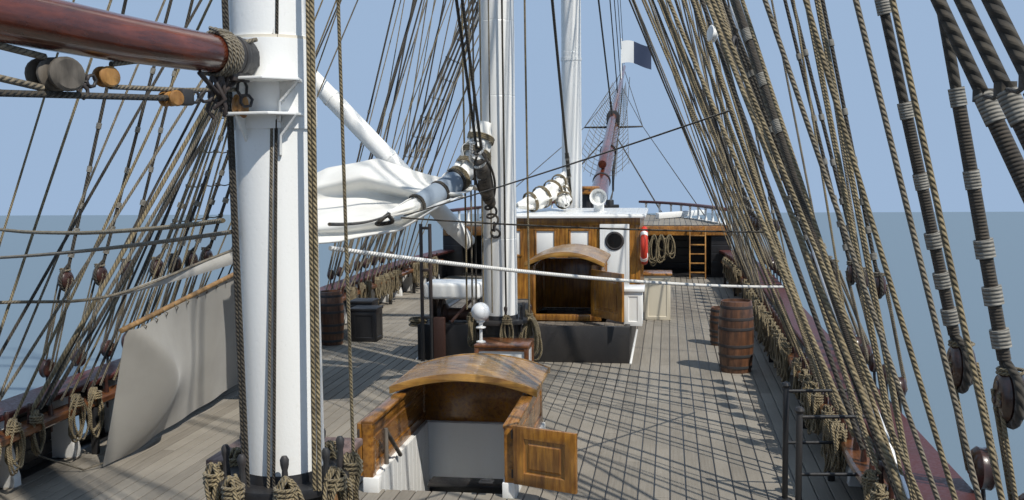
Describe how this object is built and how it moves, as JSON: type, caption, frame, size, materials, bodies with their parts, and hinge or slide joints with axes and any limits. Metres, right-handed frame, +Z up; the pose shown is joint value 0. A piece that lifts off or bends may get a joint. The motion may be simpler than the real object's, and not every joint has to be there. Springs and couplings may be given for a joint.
{
  "type": "three-masted barque, scale model",
  "caption": "Three-masted wooden sailing ship with black hull, white lower masts, bare yards, companions, deckhouse and working rudder.",
  "frame": {"origin": "on the centreline amidships at the waterline", "axes": "+X to the bow, +Y to port, +Z up; the deck rises 2 degrees to the bow and the masts rake aft by as much"},
  "size_m": [26.5481, 7.3, 16.1651],
  "materials": {
    "hull_black": "satin",
    "white_paint": "satin",
    "maroon_paint": "satin",
    "varnished_wood": "gloss",
    "red_varnish": "gloss",
    "tarred_rope": "matte",
    "canvas": "matte",
    "ochre_paint": "satin"
  },
  "bodies": {
    "ship": {"aft_companion": "varnished_wood", "awning": "canvas", "bowsprit": "red_varnish", "bulwark_port": "hull_black", "bulwark_starboard": "hull_black", "cap_rail_port": "maroon_paint", "cap_rail_starboard": "maroon_paint", "deckhouse": "varnished_wood", "deckhouse_roof": "white_paint", "derrick": "white_paint", "fore_lower_mast": "white_paint", "fore_shrouds_port": "tarred_rope", "fore_shrouds_starboard": "tarred_rope", "fore_stay": "tarred_rope", "fore_topmast": "ochre_paint", "forecastle": "hull_black", "forecastle_rail_port": "maroon_paint", "forecastle_rail_starboard": "maroon_paint", "hull": "hull_black", "jib_boom": "red_varnish", "main_hatch": "hull_black", "main_lower_mast": "white_paint", "main_shrouds_port": "tarred_rope", "main_shrouds_starboard": "tarred_rope", "main_stay": "tarred_rope", "main_topmast": "ochre_paint", "mid_companion": "varnished_wood", "mid_companion_roof": "varnished_wood", "mizzen_lower_mast": "white_paint", "mizzen_shrouds_port": "tarred_rope", "mizzen_shrouds_starboard": "tarred_rope", "mizzen_stay": "tarred_rope", "mizzen_staysail": "canvas", "mizzen_topmast": "ochre_paint", "pin_rail_port": "varnished_wood", "pin_rail_starboard": "varnished_wood", "poop": "hull_black", "poop_rail": "maroon_paint", "pump_box": "white_paint", "weather_cloth": "canvas", "wheel_box": "varnished_wood"},
    "fore_course_yard": {"fore_course_yard": "ochre_paint"},
    "fore_topsail_yard": {"fore_topsail_yard": "ochre_paint"},
    "fore_topgallant_yard": {"fore_topgallant_yard": "ochre_paint"},
    "fore_royal_yard": {"fore_royal_yard": "ochre_paint"},
    "main_course_yard": {"main_course_yard": "ochre_paint"},
    "main_topsail_yard": {"main_topsail_yard": "ochre_paint"},
    "main_topgallant_yard": {"main_topgallant_yard": "ochre_paint"},
    "main_royal_yard": {"main_royal_yard": "ochre_paint"},
    "spanker_boom": {"spanker_boom": "red_varnish"},
    "spanker_gaff": {"spanker_gaff": "red_varnish"},
    "rudder": {"rudder": "hull_black"},
    "steering_wheel": {"steering_wheel": "red_varnish"},
    "aft_companion_hood": {"aft_companion_hood": "varnished_wood"},
    "aft_companion_door_port": {"aft_companion_door_port": "varnished_wood"},
    "aft_companion_door_starboard": {"aft_companion_door_starboard": "varnished_wood"},
    "mid_companion_door": {"mid_companion_door": "varnished_wood"},
    "deckhouse_door": {"deckhouse_door": "white_paint"},
    "capstan": {"capstan": "hull_black"}
  },
  "joints": [
    {"name": "fore_course_yard_swing", "type": "hinge", "parent": "ship", "child": "fore_course_yard", "pos_m": [4.28249, 0, 5.94234], "axis": [-0.0349, 0, 0.9994], "range_deg": [-30, 30]},
    {"name": "fore_topsail_yard_swing", "type": "hinge", "parent": "ship", "child": "fore_topsail_yard", "pos_m": [4.41999, 0, 8.0234], "axis": [-0.0349, 0, 0.9994], "range_deg": [-30, 30]},
    {"name": "fore_topgallant_yard_swing", "type": "hinge", "parent": "ship", "child": "fore_topgallant_yard", "pos_m": [4.47747, 0, 10.67702], "axis": [-0.0349, 0, 0.9994], "range_deg": [-30, 30]},
    {"name": "fore_royal_yard_swing", "type": "hinge", "parent": "ship", "child": "fore_royal_yard", "pos_m": [4.43038, 0, 12.0262], "axis": [-0.0349, 0, 0.9994], "range_deg": [-30, 30]},
    {"name": "main_course_yard_swing", "type": "hinge", "parent": "ship", "child": "main_course_yard", "pos_m": [-0.47508, 0, 6.07648], "axis": [-0.0349, 0, 0.9994], "range_deg": [-30, 30]},
    {"name": "main_topsail_yard_swing", "type": "hinge", "parent": "ship", "child": "main_topsail_yard", "pos_m": [-0.33933, 0, 8.20751], "axis": [-0.0349, 0, 0.9994], "range_deg": [-30, 30]},
    {"name": "main_topgallant_yard_swing", "type": "hinge", "parent": "ship", "child": "main_topgallant_yard", "pos_m": [-0.28882, 0, 11.06101], "axis": [-0.0349, 0, 0.9994], "range_deg": [-30, 30]},
    {"name": "main_royal_yard_swing", "type": "hinge", "parent": "ship", "child": "main_royal_yard", "pos_m": [-0.33591, 0, 12.41019], "axis": [-0.0349, 0, 0.9994], "range_deg": [-30, 30]},
    {"name": "spanker_boom_swing", "type": "hinge", "parent": "ship", "child": "spanker_boom", "pos_m": [-3.90608, 0, 2.6047], "axis": [-0.0349, 0, 0.9994], "range_deg": [-25, 45]},
    {"name": "spanker_gaff_swing", "type": "hinge", "parent": "ship", "child": "spanker_gaff", "pos_m": [-4.00287, 0, 5.37801], "axis": [-0.0349, 0, 0.9994], "range_deg": [-30, 30]},
    {"name": "rudder_swing", "type": "hinge", "parent": "ship", "child": "rudder", "pos_m": [-8.39, 0, 0], "axis": [0, 0, 1], "range_deg": [-35, 35]},
    {"name": "wheel_turn", "type": "hinge", "parent": "ship", "child": "steering_wheel", "pos_m": [-7.53293, 0, 1.87776], "axis": [0.9994, 0, 0.0349], "range_deg": [-700, 700]},
    {"name": "aft_hood_slide", "type": "slide", "parent": "ship", "child": "aft_companion_hood", "axis": [0.9994, 0, 0.0349], "range_m": [-0.5, 0]},
    {"name": "aft_door_port_swing", "type": "hinge", "parent": "ship", "child": "aft_companion_door_port", "pos_m": [-2.37304, 0.2675, 1.1823], "axis": [-0.0349, 0, 0.9994], "range_deg": [0, 268]},
    {"name": "aft_door_starboard_swing", "type": "hinge", "parent": "ship", "child": "aft_companion_door_starboard", "pos_m": [-2.37304, -0.395, 1.1823], "axis": [-0.0349, 0, 0.9994], "range_deg": [-158, 15]},
    {"name": "mid_door_swing", "type": "hinge", "parent": "ship", "child": "mid_companion_door", "pos_m": [0.74297, -0.485, 1.56622], "axis": [-0.0349, 0, 0.9994], "range_deg": [-128, 10]},
    {"name": "deckhouse_door_swing", "type": "hinge", "parent": "ship", "child": "deckhouse_door", "pos_m": [2.82008, -0.68, 1.61369], "axis": [-0.0349, 0, 0.9994], "range_deg": [0, 110]},
    {"name": "capstan_turn", "type": "hinge", "parent": "ship", "child": "capstan", "pos_m": [6.4664, 0, 2.14119], "axis": [-0.0349, 0, 0.9994], "continuous": true}
  ],
  "couplings": [
    {"joint": "fore_topsail_yard_swing", "follows": "fore_course_yard_swing", "ratio": 1},
    {"joint": "fore_topgallant_yard_swing", "follows": "fore_course_yard_swing", "ratio": 1},
    {"joint": "fore_royal_yard_swing", "follows": "fore_course_yard_swing", "ratio": 1},
    {"joint": "main_topsail_yard_swing", "follows": "main_course_yard_swing", "ratio": 1},
    {"joint": "main_topgallant_yard_swing", "follows": "main_course_yard_swing", "ratio": 1},
    {"joint": "main_royal_yard_swing", "follows": "main_course_yard_swing", "ratio": 1},
    {"joint": "wheel_turn", "follows": "rudder_swing", "ratio": 20}
  ]
}
